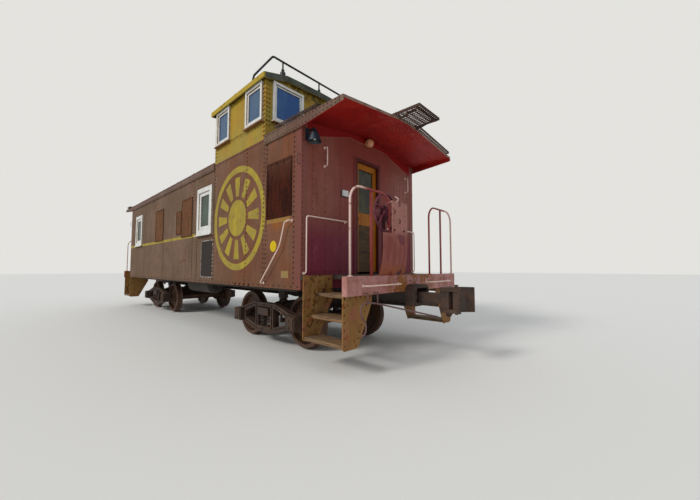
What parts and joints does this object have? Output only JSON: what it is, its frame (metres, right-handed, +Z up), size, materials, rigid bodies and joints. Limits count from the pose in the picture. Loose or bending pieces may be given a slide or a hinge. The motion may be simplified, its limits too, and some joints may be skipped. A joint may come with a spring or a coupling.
{
  "type": "railway caboose",
  "caption": "Steel railway caboose with an offset cupola, end platforms with steps and railings, hinged end doors, swinging couplers and two swivelling four-wheel trucks.",
  "frame": {"origin": "middle of the car on the level of the wheel flanges' lowest points, 25 mm below the rail head", "axes": "+X along the car towards the end with the cupola nearest to it (the A end), -Y the left side, +Z up"},
  "size_m": [12.7906, 3.02, 4.8568],
  "materials": {
    "side_paint": "faded brown body paint over riveted steel",
    "end_paint": "weathered maroon paint",
    "roof_paint": "brown roof paint, red under the overhang",
    "cupola_paint": "weathered yellow paint",
    "white_frame": "white painted window frame",
    "glass": "clear window glass",
    "rusty_plate": "rusted steel plate",
    "door_wood": "ochre stained timber",
    "tread_wood": "weathered timber tread",
    "frame_steel": "dirty dark underframe paint",
    "platform_paint": "faded pink red paint with ochre rust",
    "rail_paint": "faded red railing paint",
    "grab_paint": "pinkish white handhold paint",
    "grating_steel": "dark rusted grating",
    "dark_pipe": "dark painted pipe",
    "cast_steel": "weathered cast steel",
    "wheel_steel": "rusted wheel steel",
    "lamp_shade": "dark enamel lamp shade"
  },
  "bodies": {
    "car_body": {"underframe": "frame_steel", "body_bolsters": "frame_steel", "cross_bearers": "frame_steel", "side_sills": "frame_steel", "coupler_pins": "frame_steel", "floor_plate": "frame_steel", "side_wall_left": "side_paint", "side_wall_right": "side_paint", "end_wall_a": "end_paint", "end_wall_b": "end_paint", "roof_a": "roof_paint", "roof_b": "roof_paint", "cupola_side_left": "cupola_paint", "cupola_side_right": "cupola_paint", "cupola_end_a": "cupola_paint", "cupola_end_b": "cupola_paint", "cupola_roof": "dark_pipe", "window_frames": "white_frame", "window_glass": "glass", "window_covers": "rusty_plate", "running_boards": "grating_steel", "cupola_handrail": "dark_pipe", "smoke_stack": "dark_pipe", "platform_decks": "frame_steel", "end_sills": "platform_paint", "step_frames": "platform_paint", "step_treads": "tread_wood", "end_railings": "rail_paint", "brake_stands": "platform_paint", "brake_wheels": "rail_paint", "grab_irons": "grab_paint", "end_lamps": "lamp_shade", "strikers": "cast_steel", "uncoupling_levers": "frame_steel", "air_brake_gear": "frame_steel", "door_hinges": "frame_steel"},
    "door_leaf_a": {"door_a": "door_wood", "door_pane_a": "glass"},
    "coupler_body_a": {"coupler_a": "cast_steel"},
    "knuckle_jaw_a": {"knuckle_a": "cast_steel"},
    "truck_a": {"truck_bolster_a": "cast_steel", "truck_side_frames_a": "cast_steel", "truck_springs_a": "cast_steel", "brake_gear_a": "cast_steel"},
    "wheels_a1": {"wheelset_a1": "wheel_steel"},
    "wheels_a2": {"wheelset_a2": "wheel_steel"},
    "door_leaf_b": {"door_b": "door_wood", "door_pane_b": "glass"},
    "coupler_body_b": {"coupler_b": "cast_steel"},
    "knuckle_jaw_b": {"knuckle_b": "cast_steel"},
    "truck_b": {"truck_bolster_b": "cast_steel", "truck_side_frames_b": "cast_steel", "truck_springs_b": "cast_steel", "brake_gear_b": "cast_steel"},
    "wheels_b1": {"wheelset_b1": "wheel_steel"},
    "wheels_b2": {"wheelset_b2": "wheel_steel"}
  },
  "joints": [
    {"name": "truck_swivel_a", "type": "hinge", "parent": "car_body", "child": "truck_a", "pos_m": [3.15, 0, 0.7], "axis": [0, 0, 1], "range_deg": [-5, 5]},
    {"name": "axle_spin_a1", "type": "hinge", "parent": "truck_a", "child": "wheels_a1", "pos_m": [3.988, 0, 0.444], "axis": [0, 1, 0], "continuous": true},
    {"name": "axle_spin_a2", "type": "hinge", "parent": "truck_a", "child": "wheels_a2", "pos_m": [2.312, 0, 0.444], "axis": [0, 1, 0], "continuous": true},
    {"name": "door_swing_a", "type": "hinge", "parent": "car_body", "child": "door_leaf_a", "pos_m": [4.573, 0.285, 1.5], "axis": [0, 0, -1], "range_deg": [0, 90]},
    {"name": "coupler_swing_a", "type": "hinge", "parent": "car_body", "child": "coupler_body_a", "pos_m": [5.13, 0, 0.901], "axis": [0, 0, 1], "range_deg": [-7, 7]},
    {"name": "knuckle_open_a", "type": "hinge", "parent": "coupler_body_a", "child": "knuckle_jaw_a", "pos_m": [6.275, -0.135, 0.901], "axis": [0, 0, -1], "range_deg": [0, 40]},
    {"name": "truck_swivel_b", "type": "hinge", "parent": "car_body", "child": "truck_b", "pos_m": [-3.15, 0, 0.7], "axis": [0, 0, 1], "range_deg": [-5, 5]},
    {"name": "axle_spin_b1", "type": "hinge", "parent": "truck_b", "child": "wheels_b1", "pos_m": [-3.988, 0, 0.444], "axis": [0, 1, 0], "continuous": true},
    {"name": "axle_spin_b2", "type": "hinge", "parent": "truck_b", "child": "wheels_b2", "pos_m": [-2.312, 0, 0.444], "axis": [0, 1, 0], "continuous": true},
    {"name": "door_swing_b", "type": "hinge", "parent": "car_body", "child": "door_leaf_b", "pos_m": [-4.573, -0.285, 1.5], "axis": [0, 0, -1], "range_deg": [0, 90]},
    {"name": "coupler_swing_b", "type": "hinge", "parent": "car_body", "child": "coupler_body_b", "pos_m": [-5.13, 0, 0.901], "axis": [0, 0, 1], "range_deg": [-7, 7]},
    {"name": "knuckle_open_b", "type": "hinge", "parent": "coupler_body_b", "child": "knuckle_jaw_b", "pos_m": [-6.275, 0.135, 0.901], "axis": [0, 0, -1], "range_deg": [0, 40]}
  ]
}
